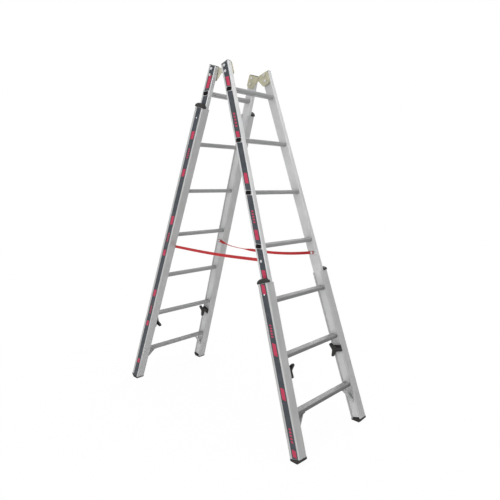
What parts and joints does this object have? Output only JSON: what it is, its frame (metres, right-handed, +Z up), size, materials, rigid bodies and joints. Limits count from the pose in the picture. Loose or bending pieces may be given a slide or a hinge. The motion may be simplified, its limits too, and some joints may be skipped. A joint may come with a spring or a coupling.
{
  "type": "trestle ladder",
  "caption": "Folding aluminium trestle ladder with flared rung legs on a top hinge, clamped telescopic leg extensions with level feet, and safety straps.",
  "frame": {"origin": "on the floor, midway between the four feet", "axes": "+Z up; +X from the left leg to the right leg; +Y along the rungs, from front to rear"},
  "size_m": [1.4278, 0.6238, 1.959],
  "materials": {
    "aluminium": "satin mill finish",
    "black_plastic": "matt moulded",
    "yellow_zinc": "yellow zinc plate",
    "zinc_steel": "zinc plate",
    "red_webbing": "woven webbing"
  },
  "bodies": {
    "left_leg": {"left_front_stile": "aluminium", "left_rear_stile": "aluminium", "left_rung_1": "aluminium", "left_rung_2": "aluminium", "left_rung_3": "aluminium", "left_rung_4": "aluminium", "left_rung_5": "aluminium", "left_rung_6": "aluminium", "left_rung_7": "aluminium", "left_front_clamp_plate": "black_plastic", "left_front_leaf": "yellow_zinc", "left_rear_clamp_plate": "black_plastic", "left_rear_leaf": "yellow_zinc", "left_clamp_studs": "zinc_steel", "left_hinge_bolts": "zinc_steel", "left_strap_bolts": "zinc_steel", "left_corner_brackets": "aluminium", "left_end_plugs": "black_plastic", "left_top_plugs": "black_plastic", "front_hinge_pin": "yellow_zinc", "rear_hinge_pin": "yellow_zinc", "front_strap": "red_webbing", "rear_strap": "red_webbing"},
    "right_leg": {"right_front_stile": "aluminium", "right_rear_stile": "aluminium", "right_rung_1": "aluminium", "right_rung_2": "aluminium", "right_rung_3": "aluminium", "right_rung_4": "aluminium", "right_rung_5": "aluminium", "right_rung_6": "aluminium", "right_rung_7": "aluminium", "right_front_clamp_plate": "black_plastic", "right_front_leaf": "yellow_zinc", "right_rear_clamp_plate": "black_plastic", "right_rear_leaf": "yellow_zinc", "right_clamp_studs": "zinc_steel", "right_hinge_bolts": "zinc_steel", "right_strap_bolts": "zinc_steel", "right_corner_brackets": "aluminium", "right_end_plugs": "black_plastic", "right_top_plugs": "black_plastic"},
    "left_front_extension": {"left_front_extension": "aluminium", "left_front_foot": "black_plastic", "left_front_cap": "black_plastic"},
    "left_front_wing_knob": {"left_front_wing_knob": "black_plastic"},
    "left_rear_extension": {"left_rear_extension": "aluminium", "left_rear_foot": "black_plastic", "left_rear_cap": "black_plastic"},
    "left_rear_wing_knob": {"left_rear_wing_knob": "black_plastic"},
    "right_front_extension": {"right_front_extension": "aluminium", "right_front_foot": "black_plastic", "right_front_cap": "black_plastic"},
    "right_front_wing_knob": {"right_front_wing_knob": "black_plastic"},
    "right_rear_extension": {"right_rear_extension": "aluminium", "right_rear_foot": "black_plastic", "right_rear_cap": "black_plastic"},
    "right_rear_wing_knob": {"right_rear_wing_knob": "black_plastic"}
  },
  "joints": [
    {"name": "leg_fold", "type": "hinge", "parent": "left_leg", "child": "right_leg", "pos_m": [0, 0, 1.91954], "axis": [0, 1, 0], "range_deg": [0, 36.5], "deforming": ["front_strap", "rear_strap"]},
    {"name": "left_front_slide", "type": "slide", "parent": "left_leg", "child": "left_front_extension", "axis": [-0.3127, -0.0542, -0.9483], "range_m": [0, 1.1]},
    {"name": "left_front_knob_turn", "type": "hinge", "parent": "left_leg", "child": "left_front_wing_knob", "pos_m": [-0.55386, -0.21972, 0.40436], "axis": [-0.017, 0.9985, -0.0515], "range_deg": [0, 180]},
    {"name": "left_rear_slide", "type": "slide", "parent": "left_leg", "child": "left_rear_extension", "axis": [-0.3127, 0.0542, -0.9483], "range_m": [0, 1.1]},
    {"name": "left_rear_knob_turn", "type": "hinge", "parent": "left_leg", "child": "left_rear_wing_knob", "pos_m": [-0.55386, 0.21972, 0.40436], "axis": [-0.017, -0.9985, -0.0515], "range_deg": [0, 180]},
    {"name": "right_front_slide", "type": "slide", "parent": "right_leg", "child": "right_front_extension", "axis": [0.3127, -0.0542, -0.9483], "range_m": [0, 0.3]},
    {"name": "right_front_knob_turn", "type": "hinge", "parent": "right_leg", "child": "right_front_wing_knob", "pos_m": [0.55386, -0.21972, 0.40436], "axis": [0.017, 0.9985, -0.0515], "range_deg": [0, 180]},
    {"name": "right_rear_slide", "type": "slide", "parent": "right_leg", "child": "right_rear_extension", "axis": [0.3127, 0.0542, -0.9483], "range_m": [0, 0.3]},
    {"name": "right_rear_knob_turn", "type": "hinge", "parent": "right_leg", "child": "right_rear_wing_knob", "pos_m": [0.55386, 0.21972, 0.40436], "axis": [0.017, -0.9985, -0.0515], "range_deg": [0, 180]}
  ]
}
